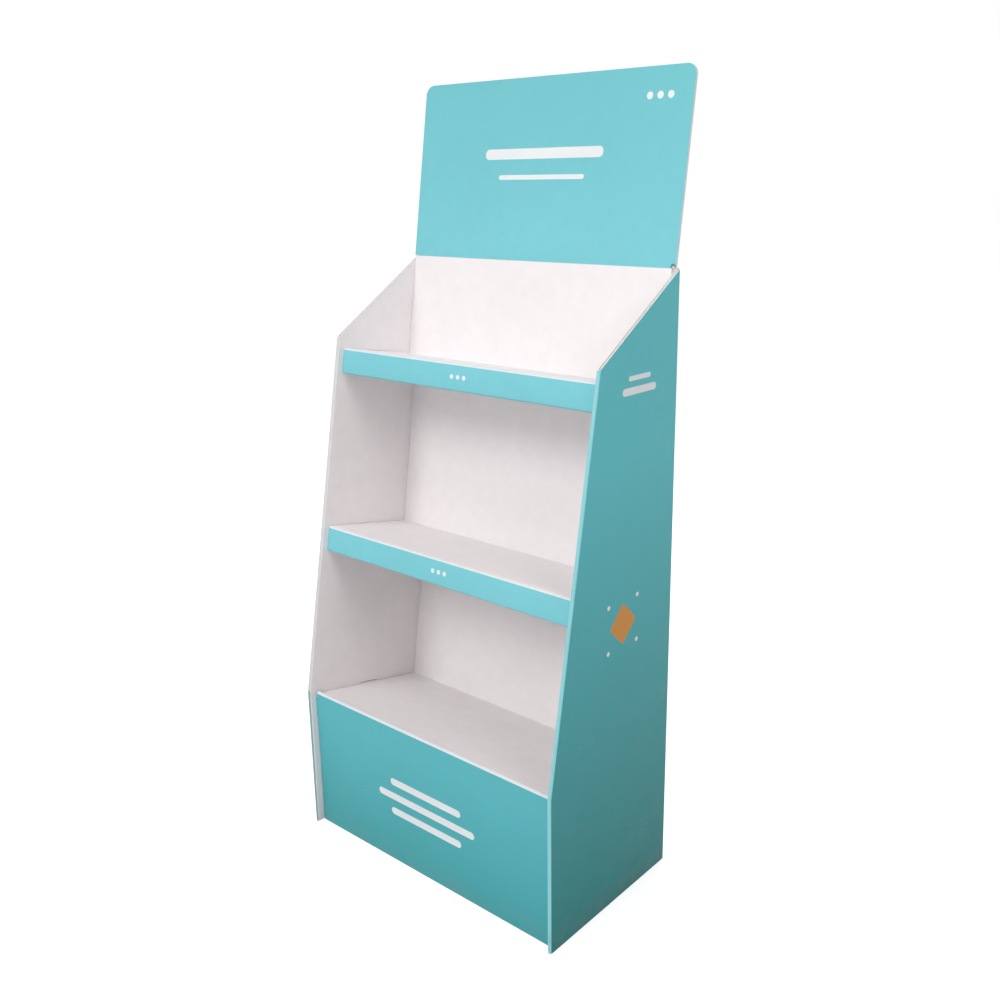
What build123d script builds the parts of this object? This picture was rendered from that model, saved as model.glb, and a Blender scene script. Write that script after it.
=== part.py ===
from build123d import *
import math
import os

# Three-tier floor stand folded from corrugated board, standing upright.
# X runs across the stand, the open front faces -Y and Z is up. Lengths are millimetres, angles degrees.

# Driving sizes of the whole stand
stand_width = 600.0
stand_depth = 335.0
base_height = 282.0
side_height = 1085.0
shoulder_drop = 137.0
shoulder_setback = 120.0
header_rise = 315.0

# Board and folds
board = 3.0
header_board = 4.0
fold_radius = 0.8
seat_gap = 0.3
panel_play = 1.0
cut_overrun = 20.0

# Double side walls, with a hem turned in along the front edge
side_thickness = 8.0
tuck_depth = 45.0
tuck_gap = 1.0
mitre_gap = 1.5
rear_flange = 45.0
rear_flange_taper = 12.0

# Shelf trays
front_recess = 14.0
base_shelf_fall_deg = 11.7
shelf_fall_deg = 10.5
wall_lean_deg = 8.6
top_lip_drop = 157.0
middle_lip_share = 0.4923
lip_height = 47.0
lip_box_depth = 24.0
lip_glue_flap = 14.0
middle_wall_top_drop = 101.0
base_wall_top_drop = 25.0
pan_margin = 12.0
pan_flange = 34.0
flange_taper = 10.0

# Tabs of the trays and their slots in the side linings
tab_length = 42.0
tab_reach = 4.4
tab_corner = 1.2
slot_end_play = 1.5
wall_tab_shares = (0.22, 0.72)

# Base front panel and the tray behind it
base_front_height = 278.0
base_hem_depth = 48.0
base_hem_gap = 2.0
base_side_flange = 60.0
base_notch_width = 6.0
base_notch_height = 12.0
base_shelf_drop = 5.0
base_tray_flange = 43.0

# Crossed partitions that stand under the base shelf
long_partition_share = 0.45
cross_partition_share = 0.38
partition_play = 2.0

# Header card
header_inset = 3.0
header_corner = 18.0
tongue_depth = 105.0
tongue_corner = 10.0
tongue_relief = 3.0

# Places that follow from the driving sizes
half_width = stand_width / 2
shoulder_height = side_height - shoulder_drop
top_lip_top = side_height - top_lip_drop
middle_lip_top = base_front_height + (top_lip_top - base_front_height) * middle_lip_share
lining_face = half_width - side_thickness
tray_half_width = lining_face - seat_gap
slant_deg = math.degrees(math.atan2(shoulder_setback, shoulder_height - base_height))
back_front_y = stand_depth - 2 * board - seat_gap
lining_rear_y = back_front_y - seat_gap
base_hem_rear_y = front_recess + 2 * board + base_hem_gap


def slant_y(height):
    """Depth of the sides' sloping front edge at a height."""
    return (height - base_height) * shoulder_setback / (shoulder_height - base_height)


def step(start, length, angle_deg):
    """Point at a distance from start in the YZ plane. 0 degrees is to the rear and 90 is up."""
    angle = math.radians(angle_deg)
    return (start[0] + length * math.cos(angle), start[1] + length * math.sin(angle))


def unit(start, end):
    """Direction from one point to the next, as a pair."""
    length = math.dist(start, end)
    return ((end[0] - start[0]) / length, (end[1] - start[1]) / length)


def left_of(direction):
    return (-direction[1], direction[0])


def moved_aside(route, distance):
    """The route moved to its left by a distance, with mitred corners."""
    directions = [unit(a, b) for a, b in zip(route, route[1:])]
    befores = [directions[0]] + directions
    afters = directions + [directions[-1]]
    moved = []
    for point, before, after in zip(route, befores, afters):
        n1 = left_of(before)
        n2 = left_of(after)
        stretch = distance / (1 + n1[0] * n2[0] + n1[1] * n2[1])
        moved.append((point[0] + stretch * (n1[0] + n2[0]), point[1] + stretch * (n1[1] + n2[1])))
    return moved


def rounded_line(points, radii):
    if len(points) == 2:
        return Line(*points)
    return FilletPolyline(*points, radius=radii)


def board_section(route):
    """Face of one sheet of board. The route is its show face, and the board lies to the left of it."""
    other = moved_aside(route, board)
    route_radii = []
    other_radii = []
    for a, b, c in zip(route, route[1:], route[2:]):
        d1 = unit(a, b)
        d2 = unit(b, c)
        turns_left = d1[0] * d2[1] - d1[1] * d2[0] > 0
        route_radii.append(fold_radius + board if turns_left else fold_radius)
        other_radii.append(fold_radius if turns_left else fold_radius + board)
    show = rounded_line(route, route_radii)
    hidden = rounded_line(other, other_radii)
    return make_face(Curve() + [show, hidden, Line(show @ 0, hidden @ 0), Line(show @ 1, hidden @ 1)])


def across(section, half):
    """Solid of a YZ section, from -half to half along X."""
    return extrude(Plane.YZ * section, amount=half, both=True)


def yz_prism(points, x_low, x_high):
    """Solid of a closed YZ outline between two X places."""
    face = make_face(Polyline(*points, close=True))
    return extrude(Plane.YZ.offset(x_low) * face, amount=x_high - x_low)


def block(x, y, z):
    """Box between two X, two Y and two Z places."""
    size = Box(x[1] - x[0], y[1] - y[0], z[1] - z[0], align=(Align.MIN, Align.MIN, Align.MIN))
    return Pos(x[0], y[0], z[0]) * size


def shelf_height(lip, y, fall_deg):
    """Height of a shelf's show face at a depth, from the lip's top edge."""
    return lip[1] - (y - lip[0]) * math.tan(math.radians(fall_deg))


def header_front_y(height):
    """Depth of the header card's front face at a height: it leans over the back panel's top edge."""
    card_depth = header_board / math.cos(math.radians(wall_lean_deg))
    at_top = back_front_y - seat_gap - card_depth
    return at_top - (side_height - height) * math.tan(math.radians(wall_lean_deg))


def tray_lines(lip, fall_deg, wall_top):
    """Show face of a tray in the YZ plane: the shelf falls from the lip to the foot of the leaning wall."""
    lean = math.tan(math.radians(wall_lean_deg))
    fall = math.tan(math.radians(fall_deg))
    wall_y_at_lip = wall_top[0] - (wall_top[1] - lip[1]) * lean
    foot_y = (wall_y_at_lip + lean * fall * lip[0]) / (1 + lean * fall)
    foot = (foot_y, shelf_height(lip, foot_y, fall_deg))
    return {"wall_top": wall_top, "foot": foot, "lip": lip, "fall": fall_deg}


# The lower walls rest against the back panel, and the top wall lies against the header card
rested_wall_y = back_front_y - seat_gap - board * math.cos(math.radians(wall_lean_deg))
top_wall_height = side_height - seat_gap
top_wall_y = header_front_y(top_wall_height) - (board + seat_gap) / math.cos(math.radians(wall_lean_deg))

base_lip = (base_hem_rear_y + seat_gap, base_front_height - base_shelf_drop)
middle_lip = (slant_y(middle_lip_top) + front_recess, middle_lip_top)
top_lip = (slant_y(top_lip_top) + front_recess, top_lip_top)
base_lines = tray_lines(base_lip, base_shelf_fall_deg, (rested_wall_y, middle_lip_top - base_wall_top_drop))
middle_lines = tray_lines(middle_lip, shelf_fall_deg, (rested_wall_y, side_height - middle_wall_top_drop))
top_lines = tray_lines(top_lip, shelf_fall_deg, (top_wall_y, top_wall_height))


def shelf_tab_place(lines):
    """Middle and direction of the tab at each side of a shelf, on its show face."""
    middle = tuple((a + b) / 2 for a, b in zip(lines["foot"], lines["lip"]))
    return (middle, -lines["fall"])


def wall_tab_places(lines):
    """Middle and direction of the tabs up each side of a wall, on its show face."""
    rise_deg = 90 - wall_lean_deg
    length = math.dist(lines["foot"], lines["wall_top"])
    return [(step(lines["foot"], length * share, rise_deg), rise_deg) for share in wall_tab_shares]


def tab_places(lines):
    return [shelf_tab_place(lines)] + wall_tab_places(lines)


def lying_box(place, x, length, low, high):
    """Box along a sheet: length is centred on the place, low and high are measured below its show face."""
    (y, z), angle = place
    size = Box(x[1] - x[0], length, high - low, align=(Align.MIN, Align.CENTER, Align.MAX))
    return Pos(x[0], y, z) * Rot(angle, 0, 0) * Pos(0, 0, -low) * size


def side_tab(place):
    """Tab in the plane of the sheet, with its tip's corners cut off."""
    (y, z), angle = place
    root = tray_half_width - pan_margin
    plan = Pos(root, 0) * Rectangle(pan_margin + tab_reach, tab_length, align=(Align.MIN, Align.CENTER))
    plan = chamfer(plan.vertices().group_by(Axis.X)[-1], tab_corner)
    return Pos(0, y, z) * Rot(angle, 0, 0) * extrude(plan, amount=-board)


def with_tabs(tray, lines):
    """The tray with its tabs. The side flange is cut away beside the shelf's tab."""
    free_x = (tray_half_width - board - fold_radius, tray_half_width + seat_gap)
    free_length = tab_length + 2 * slot_end_play
    free = lying_box(shelf_tab_place(lines), free_x, free_length, board, pan_flange + cut_overrun)
    tray = tray - free - mirror(free, about=Plane.YZ)
    for place in tab_places(lines):
        tab = side_tab(place)
        tray = tray + tab + mirror(tab, about=Plane.YZ)
    return tray


def shelf_pan(lines):
    """Middle of the shelf between its front and rear folds, with tapered side flanges folded down."""
    length = math.dist(lines["lip"], lines["foot"]) - 2 * pan_margin
    rear = step(lines["lip"], length + pan_margin, -lines["fall"])
    fall = math.radians(lines["fall"])
    plane = Plane(origin=(0, rear[0], rear[1]), x_dir=(1, 0, 0), z_dir=(0, -math.cos(fall), math.sin(fall)))
    route = [
        (tray_half_width, -pan_flange),
        (tray_half_width, 0),
        (-tray_half_width, 0),
        (-tray_half_width, -pan_flange),
    ]
    pan = extrude(plane * board_section(route), amount=length)
    return chamfer(flange_corners(pan), flange_taper)


def flange_corners(sheet):
    """The short edges across the free corners of the flanges, which run along X."""
    return sheet.edges().filter_by(Axis.X).filter_by(lambda edge: abs(edge.length - board) < seat_gap)


def rear_and_wall(lines):
    start = step(lines["foot"], -pan_margin, -lines["fall"])
    return across(board_section([lines["wall_top"], lines["foot"], start]), tray_half_width)


def lip_route(lines):
    """Show face of the boxed lip, from the shelf over the front and round under it."""
    lip = lines["lip"]
    fall = lines["fall"]
    bottom = step(lip, lip_height, 270 - slant_deg)
    box_rear = step(bottom, lip_box_depth, -fall)
    web = lip_height - (board + seat_gap) / math.cos(math.radians(fall - slant_deg))
    web_top = step(box_rear, web, 90 - slant_deg)
    return [
        step(lip, pan_margin, -fall),
        lip,
        bottom,
        box_rear,
        web_top,
        step(web_top, lip_glue_flap, 180 - fall),
    ]


def lipped_tray(lines):
    """Tray folded from one sheet: wall, shelf with side flanges, and a lip folded into a box."""
    lip = across(board_section(lip_route(lines)), tray_half_width)
    return with_tabs(rear_and_wall(lines) + shelf_pan(lines) + lip, lines)


def base_tray():
    """Base shelf with its wall, and a plain flange turned down behind the front panel."""
    route = [
        step(base_lip, pan_margin, -base_shelf_fall_deg),
        base_lip,
        step(base_lip, base_tray_flange, -90),
    ]
    flange = across(board_section(route), tray_half_width)
    return with_tabs(rear_and_wall(base_lines) + shelf_pan(base_lines) + flange, base_lines)


def side_top_cut():
    """Everything above the sloping top edges of the sides."""
    shoulder = (shoulder_setback, shoulder_height)
    rise_deg = math.degrees(math.atan2(side_height - shoulder_height, stand_depth - shoulder_setback))
    front = step(shoulder, -stand_depth, rise_deg)
    rear = step(shoulder, 2 * stand_depth, rise_deg)
    outline = [front, rear, step(rear, side_height, 90 + rise_deg), step(front, side_height, 90 + rise_deg)]
    return yz_prism(outline, 0, stand_width)


def right_side():
    """One folded sheet: printed skin, front hem, white lining, and a glue flange behind the back panel."""
    lower_route = [
        (lining_face, tuck_depth),
        (lining_face, 0),
        (half_width, 0),
        (half_width, stand_depth),
        (half_width - rear_flange, stand_depth),
    ]
    lower = extrude(board_section(lower_route), amount=base_height)
    hem_x = (lining_face - cut_overrun, half_width - board)
    hem_y = (-cut_overrun, tuck_depth + tuck_gap)
    lower -= block(hem_x, hem_y, (base_height - mitre_gap, base_height))

    rear_route = [
        (half_width, shoulder_setback),
        (half_width, stand_depth),
        (half_width - rear_flange, stand_depth),
    ]
    rear = extrude(board_section(rear_route), amount=side_height)

    # The hem above the base is drawn in plan, and runs back along the sloping front edge
    hem_route = [(lining_face, stand_depth), (lining_face, 0), (half_width, 0), (half_width, stand_depth)]
    slant = math.radians(slant_deg)
    run = (side_height - base_height) / math.cos(slant)
    hem = Pos(0, 0, base_height) * board_section(hem_route)
    hem = extrude(hem, amount=run, dir=(0, math.sin(slant), math.cos(slant)))
    hem &= block((0, stand_width), (-cut_overrun, lining_rear_y), (base_height, side_height))

    lining_y = (tuck_depth + tuck_gap, lining_rear_y)
    lining = block((lining_face, lining_face + board), lining_y, (0, base_height))
    side = lower + rear + hem + lining - side_top_cut()
    for lines in (base_lines, middle_lines, top_lines):
        for place in tab_places(lines):
            slot_x = (lining_face - seat_gap, lining_face + board + seat_gap)
            length = tab_length + 2 * slot_end_play
            side -= lying_box(place, slot_x, length, -seat_gap, board + seat_gap)
    return side - flange_tapers()


def flange_tapers():
    """Corners cut off the rear glue flange, at its top and bottom."""
    inner = half_width - rear_flange
    outer = inner + rear_flange_taper
    y = (stand_depth - board - fold_radius, stand_depth + cut_overrun)
    low = [(inner, 0), (outer, 0), (inner, rear_flange_taper)]
    high = [(inner, side_height), (outer, side_height), (inner, side_height - rear_flange_taper)]
    cuts = []
    for corner in (low, high):
        face = make_face(Polyline(*corner, close=True))
        cuts.append(extrude(Plane.XZ.offset(-y[1]) * face, amount=y[1] - y[0]))
    return cuts


def back_panel():
    """Flat sheet glued inside the rear flanges of the sides."""
    half = half_width - board - panel_play
    rear_y = stand_depth - board - seat_gap
    return block((-half, half), (rear_y - board, rear_y), (0, side_height))


def base_front():
    """Front panel with a hem folded over its top edge and a glue flange down each side."""
    hem_route = [
        (base_hem_rear_y, base_front_height - base_hem_depth),
        (base_hem_rear_y, base_front_height),
        (front_recess, base_front_height),
        (front_recess, 0),
    ]
    upper = across(board_section(hem_route), tray_half_width)
    flange_y = front_recess + base_side_flange
    flange_drop = (pan_flange + seat_gap) / math.cos(math.radians(base_shelf_fall_deg))
    flange_top = shelf_height(base_lip, flange_y, base_shelf_fall_deg) - flange_drop
    plan_route = [
        (-tray_half_width, flange_y),
        (-tray_half_width, front_recess),
        (tray_half_width, front_recess),
        (tray_half_width, flange_y),
    ]
    lower = extrude(board_section(plan_route), amount=flange_top)
    lower = chamfer(flange_corners(lower), flange_taper)
    upper &= block((-half_width, half_width), (0, stand_depth), (flange_top, base_front_height))
    notch_z = (base_front_height - base_notch_height, base_front_height + cut_overrun)
    notch_x = (tray_half_width - base_notch_width, half_width)
    notch = block(notch_x, (0, base_hem_rear_y + seat_gap), notch_z)
    return lower + upper - notch - mirror(notch, about=Plane.YZ)


def under_base_shelf(y):
    """Height that just clears the underside of the base shelf."""
    drop = (board + seat_gap) / math.cos(math.radians(base_shelf_fall_deg))
    return shelf_height(base_lip, y, base_shelf_fall_deg) - drop


partition_front_y = base_lip[0] + board + partition_play
partition_rear_y = base_lines["foot"][0] - partition_play
long_partition_y = partition_front_y + (partition_rear_y - partition_front_y) * long_partition_share
cross_partition_x = lining_face * cross_partition_share
halving_height = under_base_shelf(long_partition_y) / 2
halving_width = board + 2 * seat_gap


def base_long_partition():
    """Partition across the base, slotted from above, with its top corners cut for the tray's flanges."""
    y = (long_partition_y - board / 2, long_partition_y + board / 2)
    top = under_base_shelf(y[1])
    sheet = block((-tray_half_width, tray_half_width), y, (0, top))
    cut_y = (y[0] - cut_overrun, y[1] + cut_overrun)
    for hand in (-1, 1):
        middle = hand * cross_partition_x
        slot_x = (middle - halving_width / 2, middle + halving_width / 2)
        sheet -= block(slot_x, cut_y, (halving_height, top + cut_overrun))
        corner = Pos(hand * tray_half_width, long_partition_y, top)
        sheet -= corner * Box(2 * halving_width, cut_overrun, 2 * (pan_flange + seat_gap))
    return sheet


def base_cross_partition(x):
    """Partition from front to rear, slotted from below, with a top edge that follows the shelf."""
    outline = [
        (partition_front_y, 0),
        (partition_front_y, under_base_shelf(partition_front_y)),
        (partition_rear_y, under_base_shelf(partition_rear_y)),
        (partition_rear_y, 0),
    ]
    sheet = yz_prism(outline, x - board / 2, x + board / 2)
    slot_y = (long_partition_y - halving_width / 2, long_partition_y + halving_width / 2)
    slot_z = (-cut_overrun, halving_height)
    return sheet - block((x - cut_overrun, x + cut_overrun), slot_y, slot_z)


def header_card():
    """Flat card with rounded top corners, and a tongue that slides down behind the top tray's wall."""
    lean = math.radians(wall_lean_deg)
    foot = (0, header_front_y(side_height + seat_gap), side_height + seat_gap)
    plane = Plane(origin=foot, x_dir=(1, 0, 0), z_dir=(0, -math.cos(lean), math.sin(lean)))
    shown = Pos(0, header_rise / 2) * Rectangle(stand_width - 2 * header_inset, header_rise)
    shown = fillet(shown.vertices().group_by(Axis.Y)[-1], header_corner)
    tongue = Pos(0, -tongue_depth / 2) * Rectangle(2 * tray_half_width, tongue_depth)
    tongue = chamfer(tongue.vertices().group_by(Axis.Y)[0], tongue_corner)
    card = shown + tongue
    for hand in (-1, 1):
        card -= Pos(hand * tray_half_width, 0) * Circle(tongue_relief)
    return extrude(plane * card, amount=-header_board)


side = right_side()
nodes = {
    "left_side": mirror(side, about=Plane.YZ),
    "right_side": side,
    "back_panel": back_panel(),
    "base_front": base_front(),
    "base_tray": base_tray(),
    "middle_tray": lipped_tray(middle_lines),
    "top_tray": lipped_tray(top_lines),
    "header_card": header_card(),
    "base_long_partition": base_long_partition(),
    "base_cross_partition_left": base_cross_partition(-cross_partition_x),
    "base_cross_partition_right": base_cross_partition(cross_partition_x),
}

# The origin is on the floor, in the middle of the plan seen from above, header card included
lean = math.radians(wall_lean_deg)
header_rear_y = header_front_y(side_height + seat_gap) + header_rise * math.sin(lean)
header_rear_y += header_board * math.cos(lean)
plan_middle_y = header_rear_y / 2

os.makedirs("parts", exist_ok=True)
for name, solid in nodes.items():
    export_step(Pos(0, -plan_middle_y, 0) * solid, f"parts/{name}.step")
    box = solid.bounding_box()
    print(name, round(solid.volume), [round(v, 1) for v in (*box.min, *box.max)])
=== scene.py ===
import math
from collections import namedtuple

import bmesh
import bpy
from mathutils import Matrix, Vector


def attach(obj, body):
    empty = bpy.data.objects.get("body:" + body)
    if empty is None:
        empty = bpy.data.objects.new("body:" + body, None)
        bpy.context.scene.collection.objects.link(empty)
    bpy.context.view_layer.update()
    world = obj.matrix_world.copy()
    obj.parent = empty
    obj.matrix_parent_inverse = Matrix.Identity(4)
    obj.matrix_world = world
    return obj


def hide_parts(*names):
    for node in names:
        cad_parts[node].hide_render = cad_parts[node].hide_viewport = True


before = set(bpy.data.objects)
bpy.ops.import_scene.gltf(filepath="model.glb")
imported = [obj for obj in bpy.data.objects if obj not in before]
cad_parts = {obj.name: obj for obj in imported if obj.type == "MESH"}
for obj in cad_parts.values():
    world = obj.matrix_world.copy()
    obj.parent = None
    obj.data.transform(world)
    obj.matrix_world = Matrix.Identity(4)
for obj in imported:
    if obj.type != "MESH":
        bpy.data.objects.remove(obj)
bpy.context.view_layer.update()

# Lengths are millimetres on the cutting plan: X from its middle, Y from the sides' front edge and Z from the
# floor. A YZ point is a pair of them. MIDDLE_Y is the middle of the stand's depth, the row's origin.
MIDDLE_Y = 187.729

# Tolerances: corners that a weld joins, corners at one place, and faces in one plane
WELD = 0.02
SAME_PLACE = 0.05
SAME_PLANE = 0.1

# Board, its folds, and the gap between sheets that touch
BOARD = 3.0
HEADER_BOARD = 4.0
FOLD = 3.8
FOLD_STEPS = 4
INNER_FOLD = 0.8
INNER_FOLD_STEPS = 2
SMOOTH_ANGLE = math.radians(30)
SEAT_GAP = 0.3

# Sides: their front edge is upright to the bend and slopes back to the shoulder
HALF_WIDTH = 300.0
SIDE_DEPTH = 335.0
SIDE_TOP = 1085.0
FRONT_BEND = 282.0
SHOULDER = (120.0, 948.0)
SIDE_HEM = 8.0
LINING_X = HALF_WIDTH - SIDE_HEM
LINING_REAR = SIDE_DEPTH - 2 * (BOARD + SEAT_GAP)
TRAY_X = LINING_X - SEAT_GAP
REAR_FLANGE = 45.0
REAR_TAPER = 12.0

# Angles in the YZ plane, in radians: 0 is to the rear
UP = math.radians(90)
DOWN = -UP
FORWARD = math.pi
SLANT = math.atan2(SHOULDER[0], SHOULDER[1] - FRONT_BEND)
LEAN = math.radians(8.6)
FALL = math.radians(10.5)
BASE_FALL = math.radians(11.7)

TO_RIGHT = Vector((1, 0, 0))
TO_REAR = Vector((0, 1, 0))
TO_FRONT = Vector((0, -1, 0))
TO_FLOOR = Vector((0, 0, -1))


def metres(length):
    """A length on the plan, in metres."""
    return length / 1000


def millimetres(length):
    """A length in metres, as on the plan."""
    return length * 1000


def at(x, y, z):
    """A place on the cutting plan, in metres in the row's frame."""
    return Vector((metres(x), metres(y - MIDDLE_Y), metres(z)))


def away(x, y, z):
    """A move on the cutting plan, in metres."""
    return Vector((metres(x), metres(y), metres(z)))


def heading(angle):
    """The direction of an angle in the YZ plane."""
    return Vector((0, math.cos(angle), math.sin(angle)))


def along(start, length, angle):
    """The YZ point at a distance from another."""
    return (start[0] + length * math.cos(angle), start[1] + length * math.sin(angle))


def split(start, end, places):
    """Points at distances from start on the line to end."""
    angle = math.atan2(end[1] - start[1], end[0] - start[0])
    return [along(start, place, angle) for place in places]


def front_line(height):
    """Y of the sides' sloping front edge at a height."""
    return (height - FRONT_BEND) * SHOULDER[0] / (SHOULDER[1] - FRONT_BEND)


# Tests for places


def near(value, wanted):
    """Whether two coordinates in metres are the same."""
    return abs(value - wanted) < metres(SAME_PLACE)


def at_point(point):
    """Test for corners that lie at one YZ point."""
    place = at(0, *point)
    return lambda corner: near(corner.y, place.y) and near(corner.z, place.z)


def at_place(place):
    """Test for corners that lie at one place."""
    return lambda corner: (corner - place).length < metres(SAME_PLANE)


def at_x(x):
    """Test for corners, or middles of faces, that lie at one X."""
    return lambda place: near(place.x, metres(x))


# Hand tools: blanks, picking, folding and cutting


def blank(name, low, high, half):
    """A flat strip of card from one YZ point to another, open for shaping."""
    start = at(0, *low)
    end = at(0, *high)
    bpy.ops.object.select_all(action="DESELECT")
    bpy.ops.mesh.primitive_plane_add(
        size=1, location=(start + end) / 2, rotation=(math.atan2(end.z - start.z, end.y - start.y), 0, 0)
    )
    piece = bpy.context.active_object
    piece.name = name
    piece.data.name = name
    piece.scale = (metres(2 * half), (end - start).length, 1)
    bpy.ops.object.transform_apply(location=True, rotation=True, scale=True)
    bpy.ops.object.mode_set(mode="EDIT")
    return piece


def pick(piece, kind, wanted):
    """Select the corners, edges or faces that pass a test, and nothing else."""
    bpy.ops.mesh.select_mode(type=kind)
    bpy.ops.mesh.select_all(action="DESELECT")
    mesh = bmesh.from_edit_mesh(piece.data)
    for part in {"VERT": mesh.verts, "EDGE": mesh.edges, "FACE": mesh.faces}[kind]:
        part.select_set(wanted(part))
    mesh.select_flush_mode()
    bmesh.update_edit_mesh(piece.data)


def pick_corners(piece, wanted):
    """Select the corners whose place is wanted."""
    pick(piece, "VERT", lambda corner: wanted(corner.co))


def pick_edges(piece, wanted):
    """Select the edges whose two ends are both wanted."""
    pick(piece, "EDGE", lambda edge: all(wanted(corner.co) for corner in edge.verts))


def pick_faces(piece, wanted):
    """Select the faces whose middle is wanted."""
    pick(piece, "FACE", lambda face: wanted(face.calc_center_median()))


def pull(move):
    """Extrude what is selected."""
    bpy.ops.mesh.extrude_region_move(TRANSFORM_OT_translate={"value": tuple(move)})


def fold_strip(piece, route):
    """Carry the strip's last edge on through the rest of its route."""
    for start, end in zip(route[1:], route[2:]):
        pick_edges(piece, at_point(start))
        pull(at(0, *end) - at(0, *start))


def turn_flange(centre, axis, hand, rest):
    """Turn the selected edges round a fold through a right angle, and pull out the rest of a flange."""
    bpy.ops.mesh.spin(steps=FOLD_STEPS, angle=-hand * UP, center=centre, axis=axis)
    pull(rest)


def bevel(affect, length, steps):
    """Bevel the edges or the corners that are selected."""
    bpy.ops.mesh.bevel(
        affect=affect, offset=metres(length), offset_type="OFFSET", segments=steps, clamp_overlap=False
    )


def round_fold(piece, wanted, radius=FOLD, steps=FOLD_STEPS):
    """Round the folded edges that pass a test."""
    pick_edges(piece, wanted)
    bevel("EDGES", radius, steps)


def clip_corners(piece, wanted, length, steps=1):
    """Cut off the corners that pass a test, or round them in several steps."""
    pick_corners(piece, wanted)
    bevel("VERTICES", length, steps)


def cut_out(piece, on_panel, sides):
    """Cut a straight-sided window from a flat panel. Each side is a point on it and its outward direction."""
    def in_window(middle):
        return on_panel(middle) and all((middle - point).dot(outward) < 0 for point, outward in sides)

    for point, outward in sides:
        pick_faces(piece, on_panel)
        bpy.ops.mesh.bisect(plane_co=point, plane_no=outward)
    pick_faces(piece, in_window)
    bpy.ops.mesh.delete(type="FACE")


def trim(piece, on_panel, point, outward):
    """Cut off all of a panel beyond a plane."""
    pick_faces(piece, on_panel)
    bpy.ops.mesh.bisect(plane_co=point, plane_no=outward, clear_outer=True)


def turn_show_face(piece, place, direction):
    """Point all faces the same way, with the panel that a place lies on looking along a direction."""
    bpy.ops.mesh.select_all(action="SELECT")
    bpy.ops.mesh.normals_make_consistent(inside=False)

    def offset(face):
        return face.calc_center_median() - place

    mesh = bmesh.from_edit_mesh(piece.data)
    panels = [face for face in mesh.faces if abs(offset(face).dot(direction)) < metres(SAME_PLANE)]
    nearest = min(panels, key=lambda face: offset(face).length)
    if nearest.normal.dot(direction) < 0:
        bpy.ops.mesh.flip_normals()


def select_only(piece):
    """Select one piece and make it the active one."""
    bpy.ops.object.select_all(action="DESELECT")
    piece.select_set(True)
    bpy.context.view_layer.objects.active = piece


def make_board(piece, finish, show, inside, edge, thickness=BOARD):
    """Give the sheet its thickness.

    finish tells which of the show materials a face takes, from its middle and its normal. The point attribute
    "through" is 0 on the show face and 1 inside, and the cut edge's flutes follow it.
    """
    bpy.ops.mesh.select_all(action="SELECT")
    bpy.ops.mesh.remove_doubles(threshold=metres(WELD))
    bpy.ops.object.mode_set(mode="OBJECT")
    for material in (*show, inside, edge):
        piece.data.materials.append(material)
    for face in piece.data.polygons:
        face.material_index = finish(face.center, face.normal)
    corners = len(piece.data.vertices)
    skin = piece.modifiers.new("board", "SOLIDIFY")
    skin.thickness = metres(thickness)
    skin.offset = -1
    skin.use_even_offset = True
    skin.use_quality_normals = True
    bpy.ops.object.modifier_apply(modifier="board")
    through = piece.data.attributes.new("through", "FLOAT", "POINT")
    for index, value in enumerate(through.data):
        value.value = 0.0 if index < corners else 1.0
    for face in piece.data.polygons:
        outside = [index < corners for index in face.vertices]
        if not any(outside):
            face.material_index = len(show)
        elif not all(outside):
            face.material_index = len(show) + 1
    select_only(piece)
    bpy.ops.object.shade_smooth_by_angle(angle=SMOOTH_ANGLE)
    return piece


def settle(piece, node):
    """Hand a finished piece to the frame in place of its CAD node."""
    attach(piece, "root")
    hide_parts(node)


# Material tools. A Mix node has sockets for every kind of value, and these are the ones of a colour mix.
MIX_SHARE, MIX_FIRST, MIX_SECOND, MIX_RESULT = 0, 6, 7, 2


def feed(socket, value):
    """Give a socket a number or a colour, or link another socket to it."""
    if isinstance(value, (int, float)):
        socket.default_value = value
    elif isinstance(value, tuple):
        socket.default_value = (*value, 1.0)
    else:
        socket.id_data.links.new(value, socket)


def new_group(name, inputs, outputs):
    """An empty node group from the kinds of its sockets. Gives it with the sockets inside it."""
    group = bpy.data.node_groups.new(name, "ShaderNodeTree")
    for label, kind in inputs.items():
        group.interface.new_socket(label, in_out="INPUT", socket_type="NodeSocket" + kind)
    for label, kind in outputs.items():
        group.interface.new_socket(label, in_out="OUTPUT", socket_type="NodeSocket" + kind)
    return group, group.nodes.new("NodeGroupInput").outputs, group.nodes.new("NodeGroupOutput").inputs


def use(tree, group, **values):
    """Place a node group and feed its inputs, by name with spaces as underscores. Gives its outputs."""
    node = tree.nodes.new("ShaderNodeGroup")
    node.node_tree = group
    for label, value in values.items():
        feed(node.inputs[label.replace("_", " ")], value)
    return node.outputs


def maths(tree, operation, *values, clamp=False):
    """A Math node fed with numbers or sockets. Gives its output."""
    node = tree.nodes.new("ShaderNodeMath")
    node.operation = operation
    node.use_clamp = clamp
    for socket, value in zip(node.inputs, values):
        feed(socket, value)
    return node.outputs[0]


def spread(tree, value, low, high, out_low=0.0, out_high=1.0):
    """A clamped Map Range from one span of values to another. Gives its output."""
    node = tree.nodes.new("ShaderNodeMapRange")
    feed(node.inputs["Value"], value)
    for label, number in (("From Min", low), ("From Max", high), ("To Min", out_low), ("To Max", out_high)):
        feed(node.inputs[label], number)
    return node.outputs["Result"]


def noise(tree, place, scale, detail, roughness=0.55):
    """A Noise Texture. Gives its value."""
    node = tree.nodes.new("ShaderNodeTexNoise")
    feed(node.inputs["Vector"], place)
    feed(node.inputs["Scale"], scale)
    feed(node.inputs["Detail"], detail)
    feed(node.inputs["Roughness"], roughness)
    return node.outputs["Fac"]


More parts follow.
